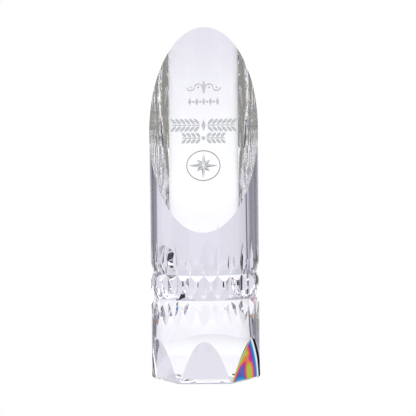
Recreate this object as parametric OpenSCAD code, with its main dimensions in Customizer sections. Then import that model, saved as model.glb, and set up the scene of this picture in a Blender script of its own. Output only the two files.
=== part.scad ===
// Crystal award: a solid cylinder of clear crystal with one slanted face, a cut band and a faceted
// base. Ornament engraved in the slanted face is filled with grey enamel. Lengths are in millimetres.
// The axis of the cylinder is Z, the flat underside is at Z = 0, and the slanted face looks to -Y.

/* [Crystal column] */
// Diameter of the cylinder
column_d = 64; // [58:1:72]
// Height at the back, up to the tip of the slanted face
column_h = 208.5; // [200:0.5:225]
// Angle of the slanted face from the horizontal
slant_angle = 62; // [58:0.5:63]

/* [Cut band] */
// Height of the bottom of the upper ring groove
upper_ring_z = 63.1; // [62:0.1:64]
// Depth of the upper ring groove
upper_ring_depth = 1.5; // [1.4:0.05:1.7]
// Height of the bottom of the lower ring groove
lower_ring_z = 48.5; // [47.5:0.1:50]
// Depth of the lower ring groove
lower_ring_depth = 2.1; // [2:0.05:2.4]
// How far the bevel above the bottom of a ring groove reaches up
ring_rise = 6; // [5:0.1:6.5]
// How far the bevel under the bottom of a ring groove reaches down
ring_drop = 4; // [3.5:0.1:4.5]
// Number of flutes round the column
flute_count = 24; // [22:1:26]
// Depth of the flutes where they are deepest
flute_depth = 1.86; // [1.7:0.02:1.9]
// Height at which the flutes are deepest
flute_deepest_z = 46; // [45:0.5:47]
// Angle of each wall of a flute from the radius through it
flute_wall_angle = 68; // [66:0.5:70]
// Height of the pointed upper tips of the flutes
upper_tip_z = 82.5; // [80:0.5:84]
// Height of the pointed lower tips of the flutes
lower_tip_z = 33; // [31:0.5:36]

/* [Base] */
// Height of the tops of the six arched base facets
base_facet_h = 25; // [22:0.5:27]
// Depth of the front and back facets at the underside
front_facet_depth = 3.75; // [3:0.05:4.2]
// Depth of the four side facets at the underside
side_facet_depth = 4.6; // [3:0.05:4.8]
// Width of the bevel round the underside
base_bevel = 0.8; // [0.6:0.1:2]

/* [Engraved ornament] */
// Depth of the engraving, which is the thickness of the enamel in it
fill_depth = 0.4; // [0.3:0.05:0.8]
// Distance from the middle of the slanted face up to the scrolls
scroll_y = 27; // [25:0.5:29]
// Distance from the middle of the slanted face up to the row of beads
bead_row_y = 17.3; // [16:0.1:18]
// Distance from the middle of the slanted face up to the long garland
long_garland_y = 1.6; // [0:0.1:3]
// Distance from the middle of the slanted face up to the short garland
short_garland_y = -6.9; // [-8:0.1:-6.5]
// Distance from the middle of the slanted face up to the middle of the star
star_y = -25; // [-26:0.5:-24]
// Radius of the circle round the star
star_ring_r = 10; // [8:0.5:10.5]

/* [Hidden] */
$fn = 96;

column_r = column_d / 2;
face_mid_z = column_h - column_r * tan(slant_angle);
margin = 4;             // how far a cutter reaches past the surface it cuts
flute_pitch = 360 / flute_count;
flute_bends = [0, 0.5, 1];   // where the bottom of a flute bends, from the deepest place to a tip
facet_angle = 60;

scroll_x = 3.3;         // from the bud to the middle of the first arc
scroll_line = 0.65;     // width of the engraved lines of the scrolls
scroll_r = 2.2;
scroll_break = 6;       // angle left clear at each end of an arc
scroll_bead_r = 0.6;
bud_l = 9;
bud_w = 2;
bead_r = 0.7;
bead_step = 4.1;
lozenge_l = 5.2;
lozenge_w = 2.1;
leaf_w = 1.75;
leaf_angle = 48;
leaf_step = 2.75;
stem_w = 0.55;
leaf_gap = 0.35;        // clear crystal between a leaf and its stem
star_points = 8;
star_long_r = 8.3;
star_short_r = 5.4;
star_notch_r = 3;
star_core_r = 0.6;
long_spray_x = 2.4;
short_spray_x = 1.9;
star_gap = 0.12;        // clear crystal between neighbouring halves of the star's points
star_ring_w = 0.6;

// ---- Crystal column ----

// Depth of a flute at a fraction of the way from its deepest place to a tip
function flute_depth_at(run) = flute_depth * (1 - run * run);

// One straight run of a V cut in the front of the column. Its sharp bottom is `depth` deep at the height
// `z` and `far_depth` deep at `far_z`, and both ends are horizontal planes.
module flute_run(z, depth, far_z, far_depth) {
    length = abs(far_z - z);
    upwards = far_z > z;
    past = far_depth == 0 ? margin : 0;     // a tip runs out through the wall
    intersection() {
        translate([0, depth - column_r, z])
            mirror([0, 0, upwards ? 0 : 1])
                rotate([atan2(depth - far_depth, length), 0, 0])
                    translate([0, 0, -margin])
                        linear_extrude(length + 3 * margin)
                            v_outline(depth + margin);
        translate([-column_r, -column_r - margin, upwards ? z : far_z - past])
            cube([column_d, column_r, length + past]);
    }
}

// The V of a flute, point at the origin, open to -Y
module v_outline(open) {
    half = open * tan(flute_wall_angle);
    polygon([[0, 0], [half, -open], [-half, -open]]);
}

module flutes() {
    last = len(flute_bends) - 1;
    for (i = [0 : flute_count - 1])
        rotate([0, 0, i * flute_pitch])
            for (tip = [upper_tip_z, lower_tip_z], k = [1 : last]) {
                near = flute_bends[k - 1];
                far = flute_bends[k];
                reach = tip - flute_deepest_z;
                flute_run(
                    flute_deepest_z + near * reach, flute_depth_at(near),
                    flute_deepest_z + far * reach, flute_depth_at(far)
                );
            }
}

// The two bevels of a ring groove
module ring_groove(z, depth) {
    wider = (depth + margin) / depth;
    rotate_extrude()
        polygon([
            [column_r - depth, z],
            [column_r + margin, z - ring_drop * wider],
            [column_r + margin, z + ring_rise * wider],
        ]);
}

// Everything outside a plane that leans in by `depth` from `height` down to the underside
module leaning_cut(height, depth) {
    lean = atan2(depth, height);
    translate([0, -column_r, height])
        rotate([lean, 0, 0])
            translate([-column_r, -column_r, -height - column_r])
                cube([column_d, column_r, height + column_r + margin]);
}

// The bevel between a base facet and the underside
module bevel_cut(depth) {
    translate([0, depth + base_bevel - column_r, 0])
        rotate([45, 0, 0])
            translate([-column_r, -column_r, -margin])
                cube([column_d, column_r, 3 * margin]);
}

module base_cuts() {
    for (i = [0 : 5]) {
        depth = i % 3 == 0 ? front_facet_depth : side_facet_depth;
        rotate([0, 0, i * facet_angle]) {
            leaning_cut(base_facet_h, depth);
            bevel_cut(depth);
        }
    }
    rotate_extrude()
        polygon([
            [column_r - base_bevel, 0],
            [column_r + margin, base_bevel + margin],
            [column_r + margin, -margin],
            [column_r - base_bevel, -margin],
        ]);
}

// Places what follows on the slanted face: X across it, Y up the slope, Z out of the crystal
module on_slanted_face() {
    translate([0, 0, face_mid_z])
        rotate([slant_angle, 0, 0])
            children();
}

module slant_cut() {
    on_slanted_face()
        translate([-column_d, -3 * column_d, 0])
            cube([2 * column_d, 6 * column_d, 3 * column_d]);
}

module crystal_column() {
    color([0.88, 0.88, 0.94, 0.45])
        difference() {
            cylinder(h = column_h, r = column_r);
            slant_cut();
            ring_groove(upper_ring_z, upper_ring_depth);
            ring_groove(lower_ring_z, lower_ring_depth);
            flutes();
            base_cuts();
            engraving() {
                scrolls();
                bead_row();
                long_garland();
                short_garland();
                star_ring();
                star_halves(1);
                star_halves(-1);
            }
        }
}

// ---- Engraved ornament ----
// Each shape is as thick as the enamel is deep, with its own Z = 0 at the bottom of the engraving.

// Sinks what follows into the slanted face, so that its top is flush with the face
module engraving() {
    on_slanted_face()
        translate([0, 0, -fill_depth])
            children();
}

// Part of a ring of line width `w` and middle radius `r`, from angle `from` over `sweep` degrees
module arc_line(r, w, from, sweep) {
    rotate([0, 0, from])
        rotate_extrude(angle = sweep)
            translate([r - w / 2, 0])
                square([w, fill_depth]);
}

// A pointed leaf along Y, bounded by two arcs
module leaf(l, w) {
    r = (l * l + w * w) / (4 * w);
    linear_extrude(fill_depth)
        intersection() {
            translate([r - w / 2, 0]) circle(r);
            translate([w / 2 - r, 0]) circle(r);
        }
}

module lozenge(l, w) {
    linear_extrude(fill_depth)
        polygon([[0, -l / 2], [w / 2, 0], [0, l / 2], [-w / 2, 0]]);
}

module bead(r) {
    cylinder(h = fill_depth, r = r);
}

// A bud between two wavy scrolls, each of two arcs with a bead in the hollow of each arc
module scrolls() {
    translate([0, scroll_y, 0]) {
        for (side = [0, 1])
            mirror([side, 0, 0])
                scroll();
        leaf(bud_l, bud_w);
    }
}

module scroll() {
    for (i = [0, 1])
        translate([scroll_x + 2 * i * scroll_r, 0, 0]) {
            arc_line(scroll_r, scroll_line, 180 * i + scroll_break, 180 - 2 * scroll_break);
            bead(scroll_bead_r);
        }
}

// Lozenges with beads between them
module bead_row() {
    translate([0, bead_row_y, 0]) {
        for (i = [-2 : 2])
            translate([i * bead_step, 0, 0])
                lozenge(lozenge_l, lozenge_w);
        for (i = [-2 : 1])
            translate([(i + 0.5) * bead_step, 0, 0])
                bead(bead_r);
    }
}

// Half of a garland: a stem along X and leaves on both sides, starting at x = start
module spray(start, leaves, leaf_l) {
    lean = 90 - leaf_angle;
    stem_l = leaves * leaf_step - leaf_gap;
    translate([start, -stem_w / 2, 0])
        cube([stem_l, stem_w, fill_depth]);
    for (i = [0 : leaves - 1], side = [0, 1])
        mirror([0, side, 0])
            translate([start + i * leaf_step, stem_w / 2 + leaf_gap, 0])
                rotate([0, 0, -lean])
                    translate([0, leaf_l / 2, 0])
                        leaf(leaf_l, leaf_w);
}

module long_garland() {
    translate([0, long_garland_y, 0]) {
        for (side = [0, 1])
            mirror([side, 0, 0])
                spray(long_spray_x, 6, 5);
        lozenge(8, 2.6);
    }
}

module short_garland() {
    translate([0, short_garland_y, 0]) {
        for (side = [0, 1])
            mirror([side, 0, 0])
                spray(short_spray_x, 4, 4);
        bead(1.2);
    }
}

module star_ring() {
    translate([0, star_y, 0])
        difference() {
            cylinder(h = fill_depth, r = star_ring_r);
            translate([0, 0, -margin])
                cylinder(h = fill_depth + 2 * margin, r = star_ring_r - star_ring_w);
        }
}

// One half of every point of the star: side 1 and side -1 are the two halves of a point
module star_halves(side) {
    pitch = 360 / star_points;
    translate([0, star_y, 0])
        for (i = [0 : star_points - 1])
            rotate([0, 0, i * pitch])
                linear_extrude(fill_depth)
                    polygon([
                        [side * star_gap, star_core_r],
                        [side * (star_notch_r * sin(pitch / 2) - star_gap),
                         star_notch_r * cos(pitch / 2)],
                        [side * star_gap, i % 2 == 0 ? star_long_r : star_short_r],
                    ]);
}

module enamel(shade) {
    color([shade, shade, shade])
        engraving()
            children();
}

module scroll_enamel() { enamel(0.72) scrolls(); }
module bead_row_enamel() { enamel(0.72) bead_row(); }
module long_garland_enamel() { enamel(0.72) long_garland(); }
module short_garland_enamel() { enamel(0.72) short_garland(); }
module star_ring_enamel() { enamel(0.55) star_ring(); }
module star_dark_enamel() { enamel(0.45) star_halves(1); }
module star_light_enamel() { enamel(0.8) star_halves(-1); }

crystal_column();
scroll_enamel();
bead_row_enamel();
long_garland_enamel();
short_garland_enamel();
star_ring_enamel();
star_dark_enamel();
star_light_enamel();
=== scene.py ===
import math

import bmesh
import bpy
from mathutils import Matrix, Vector


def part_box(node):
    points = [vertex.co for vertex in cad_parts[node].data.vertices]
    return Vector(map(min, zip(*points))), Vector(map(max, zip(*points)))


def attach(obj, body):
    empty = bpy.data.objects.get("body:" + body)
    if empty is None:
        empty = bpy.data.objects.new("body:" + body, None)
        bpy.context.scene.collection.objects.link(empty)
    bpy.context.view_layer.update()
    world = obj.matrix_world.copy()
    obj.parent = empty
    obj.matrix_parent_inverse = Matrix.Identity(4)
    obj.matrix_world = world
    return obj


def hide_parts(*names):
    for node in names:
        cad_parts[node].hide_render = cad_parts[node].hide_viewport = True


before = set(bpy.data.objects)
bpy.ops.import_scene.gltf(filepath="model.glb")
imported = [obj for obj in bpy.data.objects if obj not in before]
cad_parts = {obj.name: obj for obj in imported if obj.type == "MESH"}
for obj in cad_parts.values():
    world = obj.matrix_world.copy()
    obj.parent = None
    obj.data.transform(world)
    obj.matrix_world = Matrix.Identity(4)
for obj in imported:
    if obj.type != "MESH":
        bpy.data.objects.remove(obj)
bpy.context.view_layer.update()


# ---- Crystal column ----
# One block of clear optical crystal, sawn from a round bar. The slanted face, the ring grooves, the
# pointed flutes and the six base facets are all ground into the block and polished.

MM = 0.001
column_low, column_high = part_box("crystal_column")
column_r = (column_high.x - column_low.x) / 2 / MM
column_h = column_high.z / MM
slant_angle = math.radians(62)
face_mid_z = column_h - column_r * math.tan(slant_angle)

# Each ring groove: the height of its bottom, its depth, and how far its bevels reach up and down.
rings = ((48.5, 2.1, 6, 4.2), (63.1, 1.5, 6, 3.8))
flute_count = 24
flute_depth = 1.86
flute_deepest_z = 46
flute_tips = (33, 82.5)
flute_wall_slope = math.tan(math.radians(22))
base_facet_h = 25
front_facet_depth = 3.75
side_facet_depth = 4.6
base_bevel = 0.8
wall_steps = 720        # flat steps round the wall, half a degree each
flute_arc_steps = 30
cutter_reach = 1.3      # how far a cutter stands out of the surface it cuts
same_surface = math.cos(math.radians(0.8))      # normals closer than this are on one surface


def mesh_object(name, points, faces):
    mesh = bpy.data.meshes.new(name)
    mesh.from_pydata(points, [], faces)
    mesh.update()
    made = bpy.data.objects.new(name, mesh)
    bpy.context.scene.collection.objects.link(made)
    return made


def turned_bar(name, profile):
    """A solid of revolution. Its outline, (radius, height) points, starts and ends on the axis."""
    points = [(0, 0, profile[0][1])]
    faces = []
    inner = profile[1:-1]
    for radius, height in inner:
        for step in range(wall_steps):
            turn = 2 * math.pi * step / wall_steps
            points.append((radius * math.cos(turn), radius * math.sin(turn), height))
    points.append((0, 0, profile[-1][1]))
    top = len(points) - 1
    for step in range(wall_steps):
        here, there = step, (step + 1) % wall_steps
        faces.append((0, 1 + there, 1 + here))
        for ring in range(len(inner) - 1):
            low, high = 1 + ring * wall_steps, 1 + (ring + 1) * wall_steps
            faces.append((low + here, low + there, high + there, high + here))
        last = 1 + (len(inner) - 1) * wall_steps
        faces.append((last + here, last + there, top))
    return mesh_object(name, points, faces)


def carve(block, cutter):
    """Takes the cutter's shape out of the block, and throws the cutter away."""
    cut = block.modifiers.new("cut", "BOOLEAN")
    cut.operation = "DIFFERENCE"
    cut.solver = "MANIFOLD"
    cut.object = cutter
    bpy.context.view_layer.update()
    depsgraph = bpy.context.evaluated_depsgraph_get()
    carved = bpy.data.meshes.new_from_object(block.evaluated_get(depsgraph))
    block.modifiers.clear()
    block.data = carved
    bpy.data.objects.remove(cutter)


def block_outside(place):
    """A big box whose +Y side is the plane Y = 0 of the given placement, to cut away what is beyond it."""
    size = 3 * column_h
    corners = [(x, y, z) for x in (-size, size) for y in (-size, 0) for z in (-size, size)]
    faces = [(0, 1, 3, 2), (4, 6, 7, 5), (0, 4, 5, 1), (2, 3, 7, 6), (0, 2, 6, 4), (1, 5, 7, 3)]
    return mesh_object("cutter", [place @ Vector(corner) for corner in corners], faces)


def flute_cut(height):
    """How deep the middle of a flute is at a height, and how fast that depth grows upwards."""
    tip = flute_tips[height > flute_deepest_z]
    run = (height - flute_deepest_z) / (tip - flute_deepest_z)
    return flute_depth * (1 - run * run), -2 * flute_depth * run / (tip - flute_deepest_z)


def flute_cutter(turn):
    """The space that the V-edged wheel sweeps, sharp edge inwards, from past one tip to past the other."""
    low_tip, high_tip = flute_tips
    past = 1.12         # the wheel runs on past the tips, where its edge is clear of the wall
    steps = [step / flute_arc_steps for step in range(flute_arc_steps + 1)]
    heights = [flute_deepest_z + past * (low_tip - flute_deepest_z) * step for step in reversed(steps)]
    heights += [flute_deepest_z + past * (high_tip - flute_deepest_z) * step for step in steps[1:]]
    back = column_r + cutter_reach
    place = Matrix.Rotation(turn, 4, "Z")
    points = []
    for height in heights:
        edge = column_r - flute_cut(height)[0]
        half = (back - edge) / flute_wall_slope
        points += [(0, -edge, height), (half, -back, height), (-half, -back, height)]
    last = len(points) - 3
    faces = [(0, 1, 2), (last, last + 2, last + 1)]
    for near in range(0, last, 3):
        for a, b in ((0, 1), (1, 2), (2, 0)):
            faces.append((near + b, near + a, near + 3 + a, near + 3 + b))
    return [place @ Vector(point) for point in points], faces


outline = [(0, 0), (column_r - base_bevel, 0), (column_r, base_bevel)]
for ring_z, ring_depth, above, below in rings:
    outline += [(column_r, ring_z - below), (column_r - ring_depth, ring_z), (column_r, ring_z + above)]
outline += [(column_r, column_h + 1), (0, column_h + 1)]
crystal = turned_bar("crystal", outline)

for parity in (0, 1):
    points, faces = [], []
    for i in range(parity, flute_count, 2):
        wedge_points, wedge_faces = flute_cutter(2 * math.pi * i / flute_count)
        first = len(points)
        points += wedge_points
        faces += [tuple(first + corner for corner in face) for face in wedge_faces]
    carve(crystal, mesh_object("flute_wedges", points, faces))

for i in range(6):
    turn = Matrix.Rotation(math.radians(60 * i), 4, "Z")
    depth = side_facet_depth if i % 3 else front_facet_depth
    lean = Matrix.Rotation(math.atan2(depth, base_facet_h), 4, "X")
    carve(crystal, block_outside(turn @ Matrix.Translation((0, -column_r, base_facet_h)) @ lean))
    edge = Matrix.Translation((0, depth + base_bevel - column_r, 0))
    carve(crystal, block_outside(turn @ edge @ Matrix.Rotation(math.radians(45), 4, "X")))

on_slanted_face = Matrix.Translation((0, 0, face_mid_z)) @ Matrix.Rotation(slant_angle, 4, "X")
carve(crystal, block_outside(on_slanted_face @ Matrix.Rotation(math.radians(-90), 4, "X")))

engraving_skin = 0.01   # the enamel keys this far into the crystal round it
point_gap = 0.001       # corners closer than this are one corner
face_out = Vector((0, -math.sin(slant_angle), math.cos(slant_angle)))
enamel_nodes = [node for name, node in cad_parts.items() if name.endswith("_enamel")]


def engraving_cutter(enamel):
    """The recess that one enamel node fills, a hair smaller all round, and standing out of the face."""
    recess = bmesh.new()
    recess.from_mesh(enamel.data)
    bmesh.ops.remove_doubles(recess, verts=recess.verts, dist=point_gap * MM)
    bmesh.ops.scale(recess, verts=recess.verts, vec=(1 / MM, 1 / MM, 1 / MM))
    recess.normal_update()
    moves = {}
    for point in recess.verts:
        walls = [face.normal for face in point.link_faces if abs(face.normal.dot(face_out)) < 0.5]
        inward = -sum(walls, Vector()).normalized() * engraving_skin
        on_face = abs((point.co - Vector((0, 0, face_mid_z))).dot(face_out)) < 0.05
        moves[point] = inward + face_out * (1 if on_face else engraving_skin)
    for point, move in moves.items():
        point.co += move
    mesh = bpy.data.meshes.new("recess")
    recess.to_mesh(mesh)
    recess.free()
    cutter = bpy.data.objects.new("recess", mesh)
    bpy.context.scene.collection.objects.link(cutter)
    return cutter


for enamel in enamel_nodes:
    carve(crystal, engraving_cutter(enamel))


def round_normal(point, lean):
    """The outward normal of a cone round the Z axis at a point, leaning up by an angle from the radius."""
    turn = math.atan2(point.y, point.x)
    return Vector((math.cos(turn) * math.cos(lean), math.sin(turn) * math.cos(lean), math.sin(lean)))


def flute_normal(point, side):
    """The outward normal of one wall of the nearest flute, at a point on it; side is 1 or -1."""
    pitch = 2 * math.pi / flute_count
    middle = round(math.atan2(point.y, point.x) / pitch) * pitch
    across = Vector((-math.sin(middle), math.cos(middle), 0))
    outward = Vector((math.cos(middle), math.sin(middle), flute_cut(point.z)[1]))
    return (outward - across * side * flute_wall_slope).normalized()


def true_normals(mesh):
    """Gives the round walls and the flutes the normals of their true curves, and the other cuts flat ones."""
    normals = []
    for face in mesh.polygons:
        surfaces = [lambda point: round_normal(point, 0)]
        for ring_z, ring_depth, above, below in rings:
            if ring_z < face.center.z < ring_z + above:
                surfaces.append(lambda point, lean=-math.atan2(ring_depth, above): round_normal(point, lean))
            if ring_z - below < face.center.z < ring_z:
                surfaces.append(lambda point, lean=math.atan2(ring_depth, below): round_normal(point, lean))
        if flute_tips[0] < face.center.z < flute_tips[1]:
            surfaces.append(lambda point: flute_normal(point, 1))
            surfaces.append(lambda point: flute_normal(point, -1))
        true = None
        for surface in surfaces:
            if face.normal.dot(surface(face.center)) > same_surface:
                true = surface
        for corner in face.vertices:
            normals.append(true(mesh.vertices[corner].co) if true else face.normal)
    mesh.shade_smooth()
    mesh.normals_split_custom_set(normals)


true_normals(crystal.data)
crystal.data.transform(Matrix.Scale(MM, 4))


class Shade:
    """An output of a shader node: arithmetic on it adds Math or Vector Math nodes, node() adds any other."""

    def __init__(self, tree, socket=None):
        self.tree = tree
        self.socket = socket

    def node(self, kind, settings, sockets, output=0):
        """Adds a node with its settings, and with a value or a link in each named socket."""
        made = self.tree.nodes.new(kind)
        for name, value in settings.items():
            if name == "stops":
                for position, colour in value:
                    stop = made.color_ramp.elements.new(position)
                    stop.color = (*colour, 1)
                made.color_ramp.elements.remove(made.color_ramp.elements[-1])
            else:
                setattr(made, name, value)
        for name, value in sockets.items():
            if isinstance(value, Shade):
                self.tree.links.new(value.socket, made.inputs[name])
            else:
                made.inputs[name].default_value = value
        return Shade(self.tree, made.outputs[output] if made.outputs else None)

    def work(self, operation, first, second):
        """One sum on two values, or on each channel when either of them is a colour or a vector."""
        both = [first, second]
        threefold = any(isinstance(one, Shade) and one.socket.type != "VALUE" for one in both)
        threefold = threefold or any(isinstance(one, tuple) for one in both)
        if threefold:
            sides = [(one, one, one) if isinstance(one, (int, float)) else one for one in both]
            return self.node("ShaderNodeVectorMath", {"operation": operation}, {0: sides[0], 1: sides[1]})
        return self.node("ShaderNodeMath", {"operation": operation}, {0: first, 1: second})

    def __add__(self, other):
        return self.work("ADD", self, other)

    def __radd__(self, other):
        return self.work("ADD", other, self)

    def __sub__(self, other):
        return self.work("SUBTRACT", self, other)

    def __rsub__(self, other):
        return self.work("SUBTRACT", other, self)

    def __mul__(self, other):
        return self.work("MULTIPLY", self, other)

    def __rmul__(self, other):
        return self.work("MULTIPLY", other, self)

    def __truediv__(self, other):
        return self.work("DIVIDE", self, other)

    def __rtruediv__(self, other):
        return self.work("DIVIDE", other, self)

    def axis(self, name):
        """One of the X, Y and Z parts of a vector."""
        return self.node("ShaderNodeSeparateXYZ", {}, {0: self}, name)

    def rise(self, low, high):
        """0 below the low value and 1 above the high one, with a smooth change between them."""
        limits = {"Value": self, "From Min": low, "From Max": high}
        return self.node("ShaderNodeMapRange", {"interpolation_type": "SMOOTHSTEP"}, limits)

    def mix(self, without, full):
        """The first colour where this is 0 and the second where it is 1."""
        ends = [one if isinstance(one, Shade) else (*one, 1) for one in (without, full)]
        factor_input, first_colour_input, second_colour_input, colour_output = 0, 6, 7, 2
        sockets = {factor_input: self, first_colour_input: ends[0], second_colour_input: ends[1]}
        return self.node("ShaderNodeMix", {"data_type": "RGBA"}, sockets, colour_output)


glass = bpy.data.materials.new("crystal")
glass.use_nodes = True
bsdf = glass.node_tree.nodes["Principled BSDF"]
bsdf.inputs["Base Color"].default_value = (1, 1, 1, 1)
bsdf.inputs["Roughness"].default_value = 0
bsdf.inputs["IOR"].default_value = 1.52
bsdf.inputs["Transmission Weight"].default_value = 1
crystal.data.materials.clear()
crystal.data.materials.append(glass)

# The facet to the right of the front one splits the light into its colours. One glass shader bends
# every colour alike, so here that light is painted: a fixed, opaque pattern that glows on the facet,
# a painted rainbow in bands beside its curved right edge, which turn back round a lobe at the lower
# left and swell at one place. Lengths are in millimetres, and a pair is where a change starts and ends.
# Painted shade: a dark band near the facet's right edge.
painted_dark_edge = (0.006, 0.006, 0.01)
lobe_reach = 2.6            # how far in from the facet's left edge the lobe is full
lobe_right = (22.2, 25)
lobe_top = (8.4, 13.6)
lobe_foot = (1, 4.5)
swell_x, swell_z = 24.3, 12.6
swell_squash = 0.64
swell_area = 11
bands_per_mm = 0.22
bands_spread = 0.05         # the bands are this much wider above the spread heights
spread_heights = (6, 13)
least_phase = 0.22
lobe_phase = 0.5
lobe_foot_phase = 0.17
swell_phase = 0.2
left_edge_blur = (-0.4, 0.5)

# Painted light: an opaque material that glows with a painted rainbow on the facet.
painted_rainbow = bpy.data.materials.new("painted_rainbow_glow")
painted_rainbow.use_nodes = True
bsdf = painted_rainbow.node_tree.nodes["Principled BSDF"]
bsdf.inputs["Base Color"].default_value = (0.01, 0.01, 0.01, 1)
bsdf.inputs["Roughness"].default_value = 0.03
bsdf.inputs["Specular IOR Level"].default_value = 0.1
bsdf.inputs["Emission Strength"].default_value = 1
facet = Shade(painted_rainbow.node_tree)
facet_place = facet.node("ShaderNodeTexCoord", {}, {}, "Object") * (1 / MM)
across = facet_place.axis("X")
up = facet_place.axis("Z")
# The phase is 0 at the left edge of the facet and 1 at its last colour before the painted dark edge.
left_edge = 15.5 + up * 0.3 + up * up * 0.0062
right_edge = 30.35 - up * up * 0.0057
from_left = across - left_edge
from_right = right_edge - across
lobe = from_left.rise(0, lobe_reach) * (1 - across.rise(*lobe_right)) * (1 - up.rise(*lobe_top))
swell = (across - swell_x) * (across - swell_x) + (up - swell_z) * (up - swell_z) * swell_squash
phase = 1 - from_right * (bands_per_mm - up.rise(*spread_heights) * bands_spread)
phase = phase.node("ShaderNodeMath", {"operation": "MAXIMUM"}, {0: phase, 1: least_phase})
phase = phase + lobe * lobe_phase + lobe * (1 - up.rise(*lobe_foot)) * lobe_foot_phase
phase = phase + (1 - swell.rise(0, swell_area)) * swell_phase
phase = phase * from_left.rise(*left_edge_blur)
# The colours of the painted rainbow: painted lavender light at the left edge, the bands, a painted dark band,
# then painted lavender-grey light.
painted_rainbow_colours = (
    (0, (0.62, 0.6, 0.72)),
    (0.1, (0.46, 0.51, 0.35)),
    (0.18, (0.38, 0.52, 0.07)),
    (0.28, (0.47, 0.42, 0.03)),
    (0.38, (0.58, 0.26, 0.025)),
    (0.47, (0.7, 0.12, 0.085)),
    (0.55, (0.66, 0.026, 0.19)),
    (0.62, (0.4, 0.02, 0.31)),
    (0.7, (0.105, 0.088, 0.38)),
    (0.8, (0.045, 0.16, 0.49)),
    (0.9, (0.007, 0.38, 0.71)),
    (0.96, (0.26, 0.63, 0.81)),
    (1, (0.8, 0.84, 0.9)),
    (1.1, (0.8, 0.84, 0.9)),
    (1.14, painted_dark_edge),
    (1.34, painted_dark_edge),
    (1.38, (0.5, 0.49, 0.57)),
)
full_phase = 1.5
stops = [(position / full_phase, colour) for position, colour in painted_rainbow_colours]
bands = phase.node("ShaderNodeValToRGB", {"stops": stops}, {"Fac": phase / full_phase})
painted_rainbow.node_tree.links.new(bands.socket, bsdf.inputs["Emission Color"])
crystal.data.materials.append(painted_rainbow)
# The facet that faces this way carries the painted rainbow.
painted_rainbow_facet_lean = math.atan2(side_facet_depth, base_facet_h)
painted_rainbow_facet_out = Matrix.Rotation(math.radians(60), 3, "Z") @ Vector(
    (0, -math.cos(painted_rainbow_facet_lean), -math.sin(painted_rainbow_facet_lean)))
smallest_face = MM ** 2     # in square metres
for face in crystal.data.polygons:
    if face.normal.dot(painted_rainbow_facet_out) > same_surface and face.area > smallest_face:
        face.material_index = 1

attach(crystal, "root")
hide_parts("crystal_column")


# ---- Enamel ----
# Grey enamel in the engraving of the slanted face: scrolls, a row of beads, two garlands and a star in
# a ring. It is wiped into the engraved recesses, cured, and polished level with the crystal.

enamel_rough = 0.42
grain_scale, pooling_scale = 5200.0, 420.0      # spots to a metre
grain_height = 0.00002


def enamel_material(name, dark, light, low, high):
    """Satin enamel with fine grain and uneven pooling, from dark at a low height to light at a high one."""
    paint = bpy.data.materials.new(name)
    paint.use_nodes = True
    bsdf = paint.node_tree.nodes["Principled BSDF"]
    bsdf.inputs["Specular IOR Level"].default_value = 0.35
    place = Shade(paint.node_tree).node("ShaderNodeTexCoord", {}, {}, "Object")
    grain = place.node("ShaderNodeTexNoise", {}, {"Vector": place, "Scale": grain_scale, "Detail": 3.0})
    pooling = place.node("ShaderNodeTexNoise", {}, {"Vector": place, "Scale": pooling_scale, "Detail": 2.0})
    colour = place.axis("Z").rise(low, high).mix(dark, light)
    colour = colour * (0.92 + grain * 0.1 + pooling * 0.06)
    relief = {"Height": grain, "Strength": 0.25, "Distance": grain_height}
    bump = place.node("ShaderNodeBump", {}, relief, "Normal")
    roughness = enamel_rough + pooling * 0.25
    paint.node_tree.links.new(colour.socket, bsdf.inputs["Base Color"])
    paint.node_tree.links.new(roughness.socket, bsdf.inputs["Roughness"])
    paint.node_tree.links.new(bump.socket, bsdf.inputs["Normal"])
    return paint


# The heights, in metres, where each enamel has its dark tone and its light one.
ornament_low, ornament_high = 0.13, 0.2
emblem_low, emblem_high = 0.118, 0.134
grey = enamel_material("grey_enamel", (0.64, 0.64, 0.64), (0.68, 0.68, 0.69), ornament_low, ornament_high)
emblem_dark = enamel_material("dark_enamel", (0.3, 0.3, 0.3), (0.56, 0.56, 0.56), emblem_low, emblem_high)
emblem_light = enamel_material("light_enamel", (0.56, 0.56, 0.57), (0.8, 0.8, 0.82), emblem_low, emblem_high)
ring_grey = enamel_material("ring_enamel", (0.4, 0.4, 0.41), (0.45, 0.45, 0.46), emblem_low, emblem_high)
paints = {
    "star_dark_enamel": emblem_dark,
    "star_light_enamel": emblem_light,
    "star_ring_enamel": ring_grey,
}
for node in enamel_nodes:
    node.data.materials.clear()
    node.data.materials.append(paints.get(node.name, grey))


# ---- Table, tent and camera ----
# Seen directly, the table and the light tent are plain white. What the crystal bends into view is
# patterned instead: a lavender-white sweep behind with a seam at its left end, dimmer cloth past its
# ends, dark gaps between lit sides, lamps overhead, and grey on the table in front. The table is no
# lamp, yet it glows: the light and shade on it, and a shadow under the award, are painted.

white = (1, 1, 1)
sweep_colour = (0.78, 0.765, 0.86)
sweep_top_colour = (0.56, 0.57, 0.66)
sweep_rise = (0.05, 0.4)
seam_colour = (0.16, 0.12, 0.12)
dim_mid_colour = (0.52, 0.54, 0.66)
dim_left_colour = (0.26, 0.24, 0.29)
dim_right_colour = (0.22, 0.21, 0.28)
gap_colour = (0.006, 0.006, 0.009)
side_colour = (0.62, 0.61, 0.68)
side_top_colour = (0.4, 0.4, 0.44)
tent_front_colour = (0.74, 0.73, 0.82)
tent_top_colour = (0.9, 0.9, 0.92)
lamp_colour = (1.5, 1.52, 1.56)

# Bearings round the award, in degrees left or right of straight behind it.
sweep_shading = (20, 38)
sweep_shade = 0.8
seam_start = (38.5, 38.8)
seam_end = (40.6, 40.9)
left_dimming = (42, 47.5)
right_dimming = (46, 51)
cloth_end = (57, 61)
side_start, side_end, front_start = 78, 108, 146
near_blur = 4
lamps_start = (95, 115)
# Steepness, as the height of a direction of length 1.
roof_start = (0.5, 0.8)
lamp_start = (0.3, 0.38)


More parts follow.
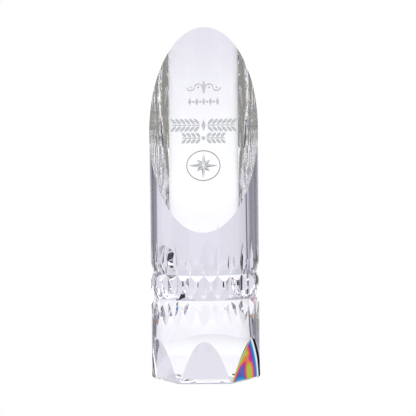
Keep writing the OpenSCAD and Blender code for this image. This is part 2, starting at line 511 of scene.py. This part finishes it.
def tent_wall(bearing, steepness, middle):
    """The tent's colour by bearing, in degrees to the right of straight behind, and steepness."""
    leftwards = -1 * bearing
    far_left = leftwards.rise(*left_dimming).mix(dim_mid_colour, dim_left_colour)
    wall = leftwards.rise(*sweep_shading).mix(middle, middle * sweep_shade)
    wall = leftwards.rise(*seam_start).mix(wall, seam_colour)
    wall = leftwards.rise(*seam_end).mix(wall, far_left)
    wall = bearing.rise(*right_dimming).mix(wall, dim_right_colour)
    wall = steepness.rise(*roof_start).mix(wall, tent_top_colour)
    from_behind = bearing * bearing
    near_side = gap_colour
    for edge, colour in ((side_start, side_colour), (side_end, gap_colour), (front_start, tent_front_colour)):
        near_side = from_behind.rise(edge ** 2, (edge + near_blur) ** 2).mix(near_side, colour)
    overhead = from_behind.rise(lamps_start[0] ** 2, lamps_start[1] ** 2).mix(side_top_colour, lamp_colour)
    near_side = steepness.rise(*lamp_start).mix(near_side, overhead)
    return from_behind.rise(cloth_end[0] ** 2, cloth_end[1] ** 2).mix(wall, near_side)


def bearing_of(place):
    angle = place.node("ShaderNodeMath", {"operation": "ARCTAN2"}, {0: place.axis("X"), 1: place.axis("Y")})
    return angle * math.degrees(1)


world = bpy.data.worlds.new("tent")
bpy.context.scene.world = world
world.use_nodes = True
background = world.node_tree.nodes["Background"]
tent = Shade(world.node_tree)
look = tent.node("ShaderNodeTexCoord", {}, {}, "Generated")
height = look.axis("Z")
sweep = height.rise(*sweep_rise).mix(sweep_colour, sweep_top_colour)
seen_directly = tent.node("ShaderNodeLightPath", {}, {}, "Is Camera Ray")
tent_colour = seen_directly.mix(tent_wall(bearing_of(look), height, sweep), white)
world.node_tree.links.new(tent_colour.socket, background.inputs["Color"])

table_half = 3
table_drop = 0.0001         # the table is this far under the award, so that the two don't touch
near_table_colour = (0.985, 0.97, 1.04)
mid_table_colour = (1.04, 1.05, 1.07)
near_to_mid = (0.27, 0.35)
mid_to_far = (0.35, 0.95)
# Grey on the table in front of the award.
front_grey_colour = (0.22, 0.22, 0.195)
front_grey_start = (0.02, 0.03)
front_grey_end = (0.26, 0.38)
# Painted shadow: dark grey on the table under the award.
painted_shadow_colour = (0.2, 0.2, 0.18)
footprint = (column_high.x - MM, column_high.x + 2 * MM)

corners = [(-table_half, -table_half, 0), (table_half, -table_half, 0), (table_half, table_half, 0),
           (-table_half, table_half, 0)]
table = mesh_object("table", corners, [(0, 1, 2, 3)])
table.location.z = -table_drop
# The table glows instead of taking light: the light and shade on it are painted into its glow.
table_top = bpy.data.materials.new("table")
table_top.use_nodes = True
table_top.node_tree.nodes.clear()
table.data.materials.append(table_top)
top = Shade(table_top.node_tree)
place = top.node("ShaderNodeNewGeometry", {}, {}, "Position")
reach = place.node("ShaderNodeVectorMath", {"operation": "LENGTH"}, {0: place}, "Value")
plain = reach.rise(*near_to_mid).mix(near_table_colour, mid_table_colour)
plain = reach.rise(*mid_to_far).mix(plain, sweep_colour)
in_front = (-1 * place.axis("Y")).rise(*front_grey_start) * (1 - reach.rise(*front_grey_end))
plain = in_front.mix(plain, front_grey_colour)
# Off the grey in front, the table takes the tent's lit sides and dark gaps by bearing: painted light and
# shade.
lit = in_front.mix(tent_wall(bearing_of(place), reach * 0, plain), plain)
# A painted shadow fills the award's footprint on the table.
lit = reach.rise(*footprint).mix(painted_shadow_colour, lit)
seen_directly = top.node("ShaderNodeLightPath", {}, {}, "Is Camera Ray")
glow = top.node("ShaderNodeEmission", {}, {"Color": seen_directly.mix(lit, white)})
top.node("ShaderNodeOutputMaterial", {}, {"Surface": glow})

camera_azimuth, camera_distance, camera_height = 1.55, 1.2094, 0.1616
camera_turn, camera_down, camera_roll = 1.45, 2.88, -0.63
camera_data = bpy.data.cameras.new("camera")
camera_data.lens = 177.5
camera_data.sensor_width = 36
camera = bpy.data.objects.new("camera", camera_data)
bpy.context.scene.collection.objects.link(camera)
azimuth = math.radians(camera_azimuth)
camera_x, camera_y = camera_distance * math.sin(azimuth), -camera_distance * math.cos(azimuth)
stand = Matrix.Translation((camera_x, camera_y, camera_height))
turn = Matrix.Rotation(math.radians(camera_turn), 4, "Z")
tilt = Matrix.Rotation(math.radians(90 - camera_down), 4, "X")
roll = Matrix.Rotation(math.radians(camera_roll), 4, "Z")
camera.matrix_world = stand @ turn @ tilt @ roll
bpy.context.scene.camera = camera
bpy.context.scene.view_settings.view_transform = "Standard"
most_bounces = 40
bpy.context.scene.cycles.max_bounces = most_bounces
bpy.context.scene.cycles.transmission_bounces = most_bounces
bpy.context.scene.cycles.glossy_bounces = most_bounces
